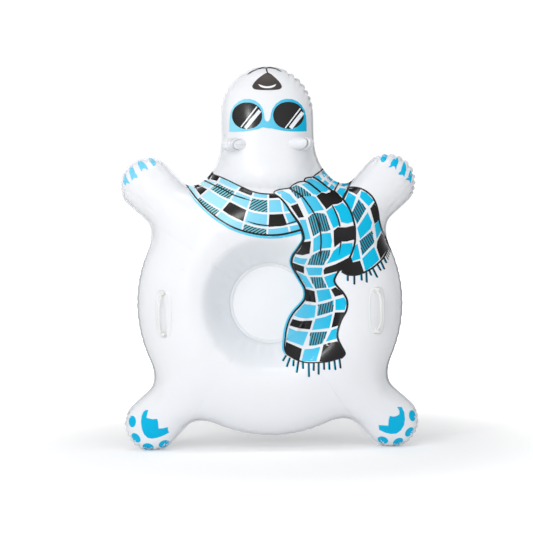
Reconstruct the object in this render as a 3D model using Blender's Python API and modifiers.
"""Inflatable snow tube in the shape of a polar bear, standing upright on its hind paws.

The tube is a ring body with a recessed seat, four short limbs and a head, cut from a front
and a back PVC sheet that are welded together round the outline. The frame is metres, +Z up
from paws to head, -Y towards the rider side, with the weld plane at y = 0 and the floor at
z = 0. Flat shapes are worked out in (x, z) from the body centre, and side is -1 for the
front and +1 for the back.
"""

import math

import bmesh
import bpy
import numpy as np
from mathutils import Matrix, Vector
from mathutils.bvhtree import BVHTree

# ---------------------------------------------------------------- driving dimensions (m)
SKIN = 0.0005           # PVC sheet
GAP = 0.0003            # clearance between neighbouring pieces

# Outline
BODY_R = 0.505          # ring body
LIMB_LEN = 0.646        # body centre to the centre of each paw, along the diagonal
LIMB_R = 0.0925         # half width of a limb
LIMB_SHORT = 0.023      # limb's round end stops this far short of the paw centre
PAW_R = 0.1025          # half width of a paw
HEAD_R = 0.175          # half width of the head and radius of its dome
HEAD_TOP = 0.722        # body centre to the centre of the dome
LOBE_START = 0.228      # body centre to the inner end of limbs and head
PAW_BLEND, LIMB_BLEND, HEAD_BLEND = 0.040, 0.091, 0.152   # widths of the smooth joins
FOOT_PRESS = 0.006      # how far the hind paws flatten on the floor
PAW_OFFSET = LIMB_LEN * math.sin(math.radians(45))        # the same along x and z
CENTRE_Z = PAW_OFFSET + PAW_R - FOOT_PRESS

# Inflated form
HALF_THICK = 0.165      # weld plane to the peak of the membrane
APRON_W = 0.055         # sloping apron between the seat floor and the bowl wall
APRON_LOW = 0.30        # share of the height left at the apron's inner edge
NECK_LOW = 0.430        # neck weld, height over the body centre on the middle line
NECK_BEND = 1.55        # how fast the neck weld rises to each side (1/m)
NECK_PINCH = 0.20       # share of the height the neck weld takes away
NECK_PINCH_W = 0.030    # how fast the pinch fades
NECK_MARGIN = 0.0009    # neck line to the edge of the sheets above and below it

# Seat
SEAT_R = 0.152          # weld circle round the seat floor
SEAT_LAP = 0.012        # sheets lapped over the rim of the seat floor
LAP_LIFT = 0.0010       # lap's outer face over the sheet's base plane
FLOOR_T = 0.0008        # seat floor sheet
FLOOR_INSET = 0.0015    # floor's edge inside the weld circle

# Finishes: base colour and roughness
WHITE_SKIN = ((0.86, 0.87, 0.89), 0.25)
FLOOR_FINISH = ((0.80, 0.82, 0.85), 0.3)
MILKY = (0.84, 0.84, 0.80)
HANDLE_FINISH = (MILKY, 0.35)
VALVE_FINISH = (MILKY, 0.3)

SIDES = (("front", -1), ("back", 1))
HANDS = (("left", -1), ("right", 1))    # sign of x
UP = Vector((0, 0, 1))

# ---------------------------------------------------------------- scene
for old in list(bpy.data.objects):
    bpy.data.objects.remove(old, do_unlink=True)
parts = bpy.data.collections.new("polar_bear_snow_tube")
cutters = bpy.data.collections.new("cutters")
bpy.context.scene.collection.children.link(parts)
bpy.context.scene.collection.children.link(cutters)


# ---------------------------------------------------------------- building tools
def material(name, finish):
    colour, roughness = finish
    mat = bpy.data.materials.new(name)
    mat.use_nodes = True
    shader = mat.node_tree.nodes["Principled BSDF"]
    shader.inputs["Base Color"].default_value = (*colour, 1.0)
    shader.inputs["Roughness"].default_value = roughness
    return mat


def add(name, data, finish):
    """A part made from a mesh or curve, with its own material."""
    obj = bpy.data.objects.new(name, data)
    parts.objects.link(obj)
    data.materials.append(material(name, finish))
    return obj


def mesh_from(name, bm):
    mesh = bpy.data.meshes.new(name)
    bm.to_mesh(mesh)
    bm.free()
    return mesh


def grid_mesh(name, rows, close):
    """A mesh lofted through rows of points. Points that coincide become one."""
    bm = bmesh.new()
    made = [[bm.verts.new(tuple(point)) for point in row] for row in rows]
    for a, b in zip(made, made[1:]):
        count = len(a) if close else len(a) - 1
        for i in range(count):
            k = (i + 1) % len(a)
            bm.faces.new((a[i], a[k], b[k], b[i]))
    bmesh.ops.remove_doubles(bm, verts=bm.verts, dist=1e-6)
    bmesh.ops.recalc_face_normals(bm, faces=bm.faces)
    return mesh_from(name, bm)


def face_towards(mesh, direction):
    """Turns an open sheet round if most of it faces away from the direction."""
    total = sum((p.normal * p.area for p in mesh.polygons), Vector())
    if total.dot(Vector(direction)) < 0:
        mesh.flip_normals()


def add_sheet(name, rows, facing, thickness=SKIN, offset=-1.0, mirrored=False, close=False,
              finish=WHITE_SKIN):
    """A smooth sheet lofted through rows of points, thickened and, if asked, mirrored in x."""
    mesh = grid_mesh(name, rows, close)
    face_towards(mesh, facing)
    mesh.shade_smooth()
    obj = add(name, mesh, finish)
    if mirrored:
        mirror = obj.modifiers.new("mirror", "MIRROR")
        mirror.use_axis = (True, False, False)
        mirror.merge_threshold = 0.0001
    solid = obj.modifiers.new("skin", "SOLIDIFY")
    solid.thickness = thickness
    solid.offset = offset
    return obj


def cylinder(name, collection, **settings):
    bpy.ops.mesh.primitive_cylinder_add(**settings)
    obj = bpy.context.object
    obj.name = obj.data.name = name
    for holder in list(obj.users_collection):
        holder.objects.unlink(obj)
    collection.objects.link(obj)
    return obj


def drill(obj, modifier_name, cutter_name, frame, radius, vertices):
    """Cuts a round hole along local Z of the frame."""
    cutter = cylinder(cutter_name, cutters, vertices=vertices, radius=radius, depth=0.05)
    cutter.hide_render = True
    cutter.display_type = "WIRE"
    cutter.matrix_world = frame
    cut = obj.modifiers.new(modifier_name, "BOOLEAN")
    cut.operation = "DIFFERENCE"
    cut.object = cutter


# ---------------------------------------------------------------- outline
def smooth_min(a, b, width):
    overlap = np.maximum(width - np.abs(a - b), 0.0) / width
    return np.minimum(a, b) - overlap * overlap * width / 4


def outline_distance(x, z):
    """Distance to the outline of the two flat sheets, negative inside."""
    side = np.abs(x)
    distance = np.hypot(side, z) - BODY_R
    for up in (1, -1):
        along = (side + z * up) / math.sqrt(2)
        across = (side - z * up) / math.sqrt(2)
        reach = np.clip(along, LOBE_START, LIMB_LEN - LIMB_SHORT)
        limb = np.hypot(along - reach, across) - LIMB_R
        paw = np.hypot(along - LIMB_LEN, across) - PAW_R
        distance = smooth_min(distance, smooth_min(limb, paw, PAW_BLEND), LIMB_BLEND)
    head = np.hypot(x, z - np.clip(z, LOBE_START, HEAD_TOP)) - HEAD_R
    return smooth_min(distance, head, HEAD_BLEND)


def outline_radius(angle):
    """First crossing of the outline along rays from the body centre."""
    steps = np.linspace(0.40, 0.95, 1101)
    cos, sin = np.cos(angle)[:, None], np.sin(angle)[:, None]
    distance = outline_distance(steps[None] * cos, steps[None] * sin)
    first = np.argmax(distance > 0, axis=1)
    row = np.arange(len(angle))
    before, after = distance[row, first - 1], distance[row, first]
    return steps[first - 1] + (steps[first] - steps[first - 1]) * before / (before - after)


def smoothed(values, half_width=24, sigma=7.0):
    """Gaussian smoothing, with widths counted in samples."""
    kernel = np.exp(-((np.arange(-half_width, half_width + 1) / sigma) ** 2) / 2)
    padded = np.pad(values, half_width, mode="reflect")
    return np.convolve(padded, kernel / kernel.sum(), mode="valid")


def neck_height(x):
    return NECK_LOW + NECK_BEND * x * x


def spaced(x, z, count, weight=None):
    """Fractional indices that split a curve into equal steps, closer where weight is large."""
    step = np.hypot(np.diff(x), np.diff(z))
    if weight is not None:
        step = step * (weight[1:] + weight[:-1]) / 2
    run = np.concatenate([[0.0], np.cumsum(step)])
    return np.interp(np.linspace(0, run[-1], count), run, np.arange(len(x)))


def at(values, index):
    """Values read at fractional indices."""
    return np.interp(index, np.arange(len(values)), values)


# Right half of the outline, from between the hind limbs to the top of the head
FINE_ANGLE = np.linspace(-math.pi / 2, math.pi / 2, 3001)
FINE_R = smoothed(outline_radius(FINE_ANGLE))
FINE_X, FINE_Z = FINE_R * np.cos(FINE_ANGLE), FINE_R * np.sin(FINE_ANGLE)
FINE_X[0] = FINE_X[-1] = 0.0

# Corner where the neck weld meets the outline
CORNER = int(np.argmax((FINE_Z > neck_height(FINE_X)) & (FINE_ANGLE > 0.9)))
CORNER_X, CORNER_Z = FINE_X[CORNER], FINE_Z[CORNER]

# Stations along the neck weld, from the corner to the middle line
NECK_RAYS = 9
NECK_X = CORNER_X * np.cos(np.linspace(0, math.pi / 2, NECK_RAYS + 1))
NECK_X[-1] = 0.0


# ---------------------------------------------------------------- inflated form
def solve_membrane(ray_count=64, ring_count=15):
    """Poisson membrane over the half outline: zero at the welds and even pressure between.

    Returns the angles of the rays, the share of the way along them and the values there.
    The skin's height over the weld plane is the square root of the value.
    """
    pick = spaced(FINE_X, FINE_Z, ray_count)
    angle, reach = at(FINE_ANGLE, pick), at(FINE_R, pick)
    part_way = (1 - np.cos(np.linspace(0, math.pi, ring_count))) / 2
    r = SEAT_R + part_way[None] * (reach[:, None] - SEAT_R)
    x, z = r * np.cos(angle)[:, None], r * np.sin(angle)[:, None]

    # two triangles in each cell of the grid
    count = ray_count * ring_count
    ids = np.arange(count).reshape(ray_count, ring_count)
    a, b, c, d = ids[:-1, :-1], ids[1:, :-1], ids[1:, 1:], ids[:-1, 1:]
    triangles = np.concatenate([
        np.stack([a, b, c], -1).reshape(-1, 3),
        np.stack([a, c, d], -1).reshape(-1, 3),
    ])

    # linear finite elements: stiffness from the edge facing each corner
    points = np.stack([x.ravel(), z.ravel()], -1)[triangles]
    edge = np.stack([points[:, (i + 2) % 3] - points[:, (i + 1) % 3] for i in range(3)], 1)
    area = np.abs(edge[:, 0, 0] * edge[:, 1, 1] - edge[:, 0, 1] * edge[:, 1, 0]) / 2
    stiffness = np.einsum("nik,njk->nij", edge, edge) / (4 * area)[:, None, None]
    whole = np.zeros((count, count))
    for i in range(3):
        for j in range(3):
            np.add.at(whole, (triangles[:, i], triangles[:, j]), stiffness[:, i, j])
    pressure = np.bincount(triangles.ravel(), np.repeat(area / 3, 3), count)

    free = np.ones((ray_count, ring_count), bool)
    free[:, 0] = free[:, -1] = False
    free = free.ravel()
    value = np.zeros(count)
    value[free] = np.linalg.solve(whole[np.ix_(free, free)], pressure[free])
    return angle, part_way, value.reshape(ray_count, ring_count) * (HALF_THICK**2 / value.max())


MEMBRANE = solve_membrane()


def height(x, z):
    """Height of the inflated skin over the weld plane."""
    x, z = np.abs(np.asarray(x, float)), np.asarray(z, float)
    rays, rings, value = MEMBRANE
    r = np.hypot(x, z)
    angle = np.arctan2(z, x)
    edge = np.interp(angle, FINE_ANGLE, FINE_R)
    part_way = np.clip((r - SEAT_R) / (edge - SEAT_R), 0, 1)

    # bilinear reading of the membrane
    i = np.clip(np.searchsorted(rays, angle) - 1, 0, len(rays) - 2)
    j = np.clip(np.searchsorted(rings, part_way) - 1, 0, len(rings) - 2)
    f = np.clip((angle - rays[i]) / (rays[i + 1] - rays[i]), 0, 1)
    g = (part_way - rings[j]) / (rings[j + 1] - rings[j])
    low = (1 - g) * value[i, j] + g * value[i, j + 1]
    high = (1 - g) * value[i + 1, j] + g * value[i + 1, j + 1]
    rise = np.sqrt(np.maximum((1 - f) * low + f * high, 0))

    rise = rise * (APRON_LOW + (1 - APRON_LOW) * np.clip((r - SEAT_R) / APRON_W, 0, 1))
    off_neck = np.abs(z - neck_height(x)) / np.sqrt(1 + (2 * NECK_BEND * x) ** 2)
    return rise * (1 - NECK_PINCH * np.exp(-off_neck / NECK_PINCH_W))


def place(x, z, side, base):
    """World points of a skin, base off the weld plane where flat, kept above the floor."""
    y = side * (base + height(x, z))
    world_z = np.maximum(np.asarray(z, float) + CENTRE_Z, 0.0)
    return np.stack([np.asarray(x, float), y, world_z], -1)


# ---------------------------------------------------------------- body sheets
EDGE_RAYS = 33                          # stations along the outline
MIDDLE_RINGS = 4                        # rings of the even middle run, with both its ends
INNER_RINGS = np.array([0.0, APRON_W, 0.13])              # out from the seat weld
OUTER_RINGS = np.array([0.075, 0.026, 0.0065, 0.0])       # in from the edge
FOOT_CROWD, FOOT_CROWD_W = 1.6, 0.10    # extra stations at the hind paws, spread in radians


def body_rim():
    """Outer edge of the half body: up the outline, then along the neck weld to the middle."""
    x, z = FINE_X[: CORNER + 1], FINE_Z[: CORNER + 1]
    foot_angle = math.atan2(-PAW_OFFSET - PAW_R, PAW_OFFSET)
    off_foot = (np.arctan2(z, x) - foot_angle) / FOOT_CROWD_W
    pick = spaced(x, z, EDGE_RAYS, 1 + FOOT_CROWD * np.exp(-(off_foot**2)))
    rim_x = np.concatenate([at(x, pick), NECK_X[1:]])
    rim_z = np.concatenate([at(z, pick), neck_height(NECK_X[1:]) - NECK_MARGIN])
    return zip(rim_x, rim_z)


def body_rows(side):
    """One row of points per rim station, from the lap on the seat floor out to the rim."""
    rows = []
    lap_r = SEAT_R - SEAT_LAP
    for x, z in body_rim():
        reach = math.hypot(x, z)
        cos, sin = x / reach, z / reach
        span = reach - SEAT_R
        inner = INNER_RINGS / span
        outer = 1 - OUTER_RINGS / span
        middle = np.linspace(inner[-1], outer[0], MIDDLE_RINGS)[1:-1]
        r = SEAT_R + np.concatenate([inner, middle, outer]) * span
        row = place(r * cos, r * sin, side, GAP)
        row[:, 1] += side * np.interp(r, [SEAT_R, SEAT_R + APRON_W], [LAP_LIFT, 0.0])
        lap = (lap_r * cos, side * (GAP + LAP_LIFT), lap_r * sin + CENTRE_Z)
        rows.append([lap, *row])
    return rows


# ---------------------------------------------------------------- head sheets
HEAD_RINGS = 9
HEAD_EDGE = np.array([0.080, 0.030, 0.008, 0.0])          # last rings, in from the edge
HEAD_EDGE_MOST = np.array([0.5, 0.25, 0.08, 0.0])         # their limits, as shares of the row
CORNER_RISE, CORNER_LIFT = 0.0012, 0.0010   # corner point, up and off the base plane
CORNER_FLARE, CORNER_FLARE_W = 0.0008, 0.05   # extra lift near the corner and how it fades


def head_rows(side):
    """Rows of points from the neck weld to the outline, from the corner to the middle."""
    top_x, top_z = FINE_X[CORNER:], FINE_Z[CORNER:]
    pick = spaced(top_x, top_z, len(NECK_X))
    columns = list(zip(NECK_X, at(top_x, pick), at(top_z, pick)))

    # the first row shrinks to one point
    _, x, z = columns[0]
    rows = [[place(x, z + CORNER_RISE, side, GAP + CORNER_LIFT)] * (HEAD_RINGS + 1)]
    for low_x, high_x, high_z in columns[1:]:
        low_z = neck_height(low_x) + NECK_MARGIN
        length = math.hypot(high_x - low_x, high_z - low_z)
        last = 1 - np.minimum(HEAD_EDGE / length, HEAD_EDGE_MOST)
        part_way = np.concatenate([np.linspace(0, last[0], HEAD_RINGS - 2)[:-1], last])
        x = low_x + part_way * (high_x - low_x)
        z = low_z + part_way * (high_z - low_z)
        off_corner = np.hypot(x - CORNER_X, z - CORNER_Z)
        base = GAP + CORNER_FLARE * np.exp(-off_corner / CORNER_FLARE_W)
        rows.append(place(x, z, side, base))
    return rows


# ---------------------------------------------------------------- neck bulkhead
BULKHEAD_T = 0.0004
BULKHEAD_INSET = 0.0025     # edge inside the skin's height
BULKHEAD_START = 0.6        # outer end, share of the way from the corner to the next station


def build_bulkhead():
    """Wall across the inside along the neck weld."""
    start = (1 - BULKHEAD_START) * NECK_X[0] + BULKHEAD_START * NECK_X[1]
    rows = []
    for x in [start, *NECK_X[1:]]:
        z = neck_height(x)
        reach = float(height(x, z)) - BULKHEAD_INSET
        rows.append([(x, y, z + CENTRE_Z) for y in np.linspace(-reach, reach, 5)])
    add_sheet("neck_bulkhead", rows, UP, thickness=BULKHEAD_T, offset=0.0, mirrored=True)


# ---------------------------------------------------------------- seat floor
def build_seat_floor():
    floor = cylinder("seat_floor", parts, vertices=64, radius=SEAT_R - FLOOR_INSET,
                     depth=FLOOR_T, location=(0, 0, CENTRE_Z), rotation=(math.pi / 2, 0, 0))
    floor.data.materials.append(material("seat_floor", FLOOR_FINISH))


# ---------------------------------------------------------------- finding the skin
def skin_point(tree, x, z, side):
    """Point of a sheet's outer face at (x, z) from the body centre, seen along y."""
    return tree.ray_cast(Vector((x, side * 1.0, z + CENTRE_Z)), Vector((0, -side, 0)))[0]


def skin_frame(tree, x, z, step):
    """Point on a front sheet, with the directions across it and out of it."""
    left = skin_point(tree, x - step, z, -1)
    right = skin_point(tree, x + step, z, -1)
    across = (right - left).normalized()
    out = across.cross(UP).normalized()
    if out.y > 0:
        out = -out
    return skin_point(tree, x, z, -1), across, out


def drop(tree, point, out, start):
    """Where a point, started that far out, lands on the skin against the out direction."""
    return tree.ray_cast(point + out * start, -out)[0]


# ---------------------------------------------------------------- ears
EAR_X, EAR_Z = 0.122, 0.600     # ear root, from the body centre
EAR_A, EAR_B, EAR_W = 0.048, 0.057, 0.026   # ear half width, reach and half thickness
EAR_LIFT = 0.0012               # root edge over the skin


def build_ear(label, sign, head_tree):
    """Half an ellipsoid standing out of the head, in an upper and a lower sheet."""
    root, along, out = skin_frame(head_tree, sign * EAR_X, EAR_Z, 0.02)
    for half, face in (("upper", 1), ("lower", -1)):
        feet = []
        for turn in np.linspace(0, math.pi, 11):
            u = EAR_A * math.cos(turn)
            w = EAR_W * math.sin(turn)
            edge = root + along * u + UP * (face * (w + GAP))
            base = (drop(head_tree, edge, out, 0.2) - root).dot(out) + EAR_LIFT
            feet.append((u, w, base))
        rows = []
        for latitude in np.linspace(0, math.pi / 2, 7):
            cos, sin = math.cos(latitude), math.sin(latitude)
            rows.append([
                root + along * (u * cos) + UP * (face * (w * cos + GAP))
                + out * (base * (1 - sin) + EAR_B * sin)
                for u, w, base in feet
            ])
        add_sheet(f"{label}_ear_{half}_sheet", rows, UP * face)


# ---------------------------------------------------------------- handles
HANDLE_X, HANDLE_Z = 0.399, -0.027      # middle of each handle, from the body centre
HANDLE_DROP = 0.1                       # start of the rays that find the skin
PATCH_W, PATCH_H, PATCH_T = 0.066, 0.180, 0.0008
PATCH_POWER = 0.55                      # squareness of the patch's rounded outline
PATCH_LIFT = 0.0013                     # patch's inner face over the skin
PATCH_STEPS = 28

GRIP_SPAN, GRIP_REACH, GRIP_ROD = 0.076, 0.0335, 0.0046
GRIP_LIFT = 0.0070                      # pivot axis over the patch
GRIP_ARC = 0.0625                       # half length of the arched run
GRIP_FOOT = 0.008                       # height of the arch's ends over the pivot axis
PIVOT_SCALE = 0.8                       # pivot radius over rod radius
# (distance from the middle, height over the pivot axis) of the end points, outermost first
GRIP_ENDS = [(0.083, 0.0), (0.068, 0.0), (0.0655, 0.0030)]

SOCKET_W, SOCKET_LEN = 0.018, 0.014
SOCKET_V = GRIP_SPAN + 0.001            # middle of each socket from the handle's middle
SOCKET_LIFT = 0.0006                    # underside over the patch
SOCKET_OVER = 0.0068                    # top over the pivot axis
SOCKET_ROUND = 0.0028
BORE_CLEARANCE = 0.0005


def build_patch(label, body_tree, middle, across, out):
    """Rounded oblong following the skin, in rings that shrink to the middle."""
    rows = []
    for ring in (1.0, 0.66, 0.33):
        row = []
        for step in range(PATCH_STEPS):
            turn = 2 * math.pi * step / PATCH_STEPS
            cos, sin = math.cos(turn), math.sin(turn)
            u = PATCH_W / 2 * ring * math.copysign(abs(cos) ** PATCH_POWER, cos)
            v = PATCH_H / 2 * ring * math.copysign(abs(sin) ** PATCH_POWER, sin)
            point = middle + across * u + UP * v
            row.append(drop(body_tree, point, out, HANDLE_DROP) + out * PATCH_LIFT)
        rows.append(row)
    centre = drop(body_tree, middle, out, HANDLE_DROP) + out * PATCH_LIFT
    rows.append([centre] * PATCH_STEPS)
    add_sheet(f"{label}_handle_patch", rows, out, thickness=PATCH_T, offset=1.0, close=True,
              finish=HANDLE_FINISH)


def build_grip(label, frame):
    """Bail-shaped grip whose ends turn in the two sockets."""
    name = f"{label}_handle_grip"
    rise = [(-v, lift) for v, lift in GRIP_ENDS]
    for step in range(13):
        v = -GRIP_ARC + 2 * GRIP_ARC * step / 12
        arch = (1 - (abs(v) / GRIP_ARC) ** 2.6) ** 0.62
        rise.append((v, GRIP_FOOT + (GRIP_REACH - GRIP_FOOT) * arch))
    rise += GRIP_ENDS[::-1]

    curve = bpy.data.curves.new(name, "CURVE")
    curve.dimensions = "3D"
    curve.bevel_depth = GRIP_ROD
    curve.bevel_resolution = 2
    curve.use_fill_caps = True
    line = curve.splines.new("POLY")
    line.points.add(len(rise) - 1)
    for point, (v, lift) in zip(line.points, rise):
        point.co = (0, lift, v, 1)
        point.radius = PIVOT_SCALE if lift == 0 else 1.0
    add(name, curve, HANDLE_FINISH).matrix_world = frame


def build_socket(label, end, frame, v, low, axis_lift):
    """Rounded block from low to just over the pivot axis, bored for the grip's end."""
    name = f"{label}_handle_{end}_socket"
    tall = axis_lift + SOCKET_OVER - low
    bm = bmesh.new()
    bmesh.ops.create_cube(bm, size=1.0)
    bmesh.ops.scale(bm, vec=(SOCKET_W, tall, SOCKET_LEN), verts=bm.verts)
    bmesh.ops.translate(bm, vec=(0, low + tall / 2, v), verts=bm.verts)
    socket = add(name, mesh_from(name, bm), HANDLE_FINISH)
    socket.matrix_world = frame
    bevel = socket.modifiers.new("round", "BEVEL")
    bevel.width = SOCKET_ROUND
    bevel.segments = 2
    drill(socket, "bore", f"{label}_{end}_bore", frame @ Matrix.Translation((0, axis_lift, v)),
          radius=GRIP_ROD * PIVOT_SCALE + BORE_CLEARANCE, vertices=20)


def build_handle(label, sign, body_tree):
    """Patch, grip and two sockets; local X runs across the skin, Y out of it and Z up."""
    middle, across, out = skin_frame(body_tree, sign * HANDLE_X, HANDLE_Z, 0.025)
    frame = Matrix.Translation(middle) @ Matrix((across, out, UP)).transposed().to_4x4()
    build_patch(label, body_tree, middle, across, out)

    # outer face of the patch at each end of the grip
    patch_tops = [
        (drop(body_tree, middle + UP * v, out, HANDLE_DROP) - middle).dot(out)
        + PATCH_LIFT + PATCH_T
        for v in (-GRIP_SPAN, GRIP_SPAN)
    ]
    axis_lift = max(patch_tops) + GRIP_LIFT
    build_grip(label, frame @ Matrix.Translation((0, axis_lift, 0)))
    for end, v, patch_top in zip(("bottom", "top"), (-SOCKET_V, SOCKET_V), patch_tops):
        build_socket(label, end, frame, v, patch_top + SOCKET_LIFT, axis_lift)


# ---------------------------------------------------------------- inflation valves
FLANGE_R, FLANGE_BORE, STEM_OUT, STEM_IN = 0.022, 0.0095, 0.0092, 0.0065
STEM_UP, STEM_DOWN, LIP_R = 0.005, 0.022, 0.0125   # stem pushed in, as when the tube is in use
LIP_ROUND = 0.0008
PLUG_R, PLUG_DEPTH = 0.0112, 0.006
FLAP_R, FLAP_T = 0.0085, 0.0009
TETHER_W, TETHER_T = 0.006, 0.0010
VALVE_LIFT = GAP + 0.0001       # flange over the highest skin under it
HOLE_CLEARANCE = 0.0012
BODY_VALVE_R, BODY_VALVE_ANGLE = 0.311, math.radians(-28)
BODY_VALVE = (BODY_VALVE_R * math.cos(BODY_VALVE_ANGLE), BODY_VALVE_R * math.sin(BODY_VALVE_ANGLE))
HEAD_VALVE = (0.0, 0.640)
TO_BACK = Matrix.Rotation(-math.pi / 2, 4, "X")   # local +Z becomes +Y, out of the back sheet

PLUG_BASE = STEM_UP + LIP_ROUND + GAP
FLAP_TOP = -STEM_DOWN - GAP
# Profiles of (radius, height), with height 0 at the flange's underside
FLANGE = [
    (FLANGE_BORE, 0.0020), (FLANGE_BORE + 0.0022, 0.0024), (FLANGE_BORE + 0.0040, 0.0013),
    (FLANGE_R - 0.001, 0.0009), (FLANGE_R, 0.0004), (FLANGE_R, 0.0), (FLANGE_BORE, 0.0),
]
STEM = [
    (STEM_IN, STEM_UP), (STEM_IN + LIP_ROUND, STEM_UP + LIP_ROUND),
    (LIP_R - LIP_ROUND, STEM_UP + LIP_ROUND), (LIP_R, STEM_UP), (LIP_R, STEM_UP - 0.0014),
    (STEM_OUT, STEM_UP - 0.0020), (STEM_OUT, -STEM_DOWN), (STEM_IN, -STEM_DOWN),
]
# The spigot tapers so that the plug can swing clear of the stem
SPIGOT = [
    (STEM_IN - 0.0004 - depth * depth / 0.017, PLUG_BASE - depth)
    for depth in (0.0, 0.002, 0.004, PLUG_DEPTH)
]
PLUG = [
    (0.0, PLUG_BASE + 0.0030), (0.0090, PLUG_BASE + 0.0026), (PLUG_R, PLUG_BASE + 0.0016),
    (PLUG_R, PLUG_BASE), *SPIGOT, (0.0, PLUG_BASE - PLUG_DEPTH),
]
FLAP = [(0.0, FLAP_TOP), (FLAP_R, FLAP_TOP), (FLAP_R, FLAP_TOP - FLAP_T), (0.0, FLAP_TOP - FLAP_T)]
# (x, height) along the strap, from the plug's edge to beside the lip
TETHER = [
    (-0.0118, PLUG_BASE + 0.0006), (-0.0136, PLUG_BASE + 0.0006),
    (-0.0152, PLUG_BASE - 0.0002), (-0.0160, PLUG_BASE - 0.0016),
]


def add_turned(name, profile, frame, smooth=True):
    """A solid turned about local Z. A profile that starts off the axis is closed."""
    bm = bmesh.new()
    loop = [bm.verts.new((r, 0, z)) for r, z in profile]
    for a, b in zip(loop, loop[1:]):
        bm.edges.new((a, b))
    if profile[0][0] > 0:
        bm.edges.new((loop[-1], loop[0]))
    obj = add(name, mesh_from(name, bm), VALVE_FINISH)
    screw = obj.modifiers.new("turn", "SCREW")
    screw.steps = screw.render_steps = 20
    screw.use_merge_vertices = True
    screw.merge_threshold = 0.00001
    screw.use_smooth_shade = smooth
    obj.matrix_world = frame


def build_valve(label, x, z, tree, sheet):
    """Valve through a back sheet: flange, stem, plug, tether and inner flap."""
    offsets = np.linspace(-FLANGE_R, FLANGE_R, 19)
    highest = max(
        skin_point(tree, x + dx, z + dz, 1).y
        for dx in offsets for dz in offsets
        if math.hypot(dx, dz) < FLANGE_R + 0.001
    )
    frame = Matrix.Translation((x, highest + VALVE_LIFT, z + CENTRE_Z)) @ TO_BACK
    drill(sheet, "valve_hole", f"{label}_valve_hole", frame,
          radius=FLANGE_BORE + HOLE_CLEARANCE, vertices=28)
    add_turned(f"{label}_valve_flange", FLANGE, frame)
    add_turned(f"{label}_valve_stem", STEM, frame)
    add_turned(f"{label}_valve_plug", PLUG, frame)
    rows = [[(px, y, pz) for y in (-TETHER_W / 2, 0, TETHER_W / 2)] for px, pz in TETHER]
    tether = add_sheet(f"{label}_valve_tether", rows, UP, thickness=TETHER_T, offset=1.0,
                       finish=VALVE_FINISH)
    tether.matrix_world = frame
    add_turned(f"{label}_valve_flap", FLAP, frame, smooth=False)


# ---------------------------------------------------------------- assembly
sheets = {}
for part, make_rows in (("body", body_rows), ("head", head_rows)):
    for face_name, side in SIDES:
        sheets[part, face_name] = add_sheet(
            f"{part}_{face_name}_sheet", make_rows(side), (0, side, 0), mirrored=True)
build_bulkhead()
build_seat_floor()

# the fittings are placed on the sheets as they are before the valve holes
bpy.context.view_layer.update()
graph = bpy.context.evaluated_depsgraph_get()
trees = {key: BVHTree.FromObject(sheet, graph) for key, sheet in sheets.items()}

for label, sign in HANDS:
    build_ear(label, sign, trees["head", "front"])
for label, sign in HANDS:
    build_handle(label, sign, trees["body", "front"])
for label, (x, z) in (("body", BODY_VALVE), ("head", HEAD_VALVE)):
    build_valve(label, x, z, trees[label, "back"], sheets[label, "back"])
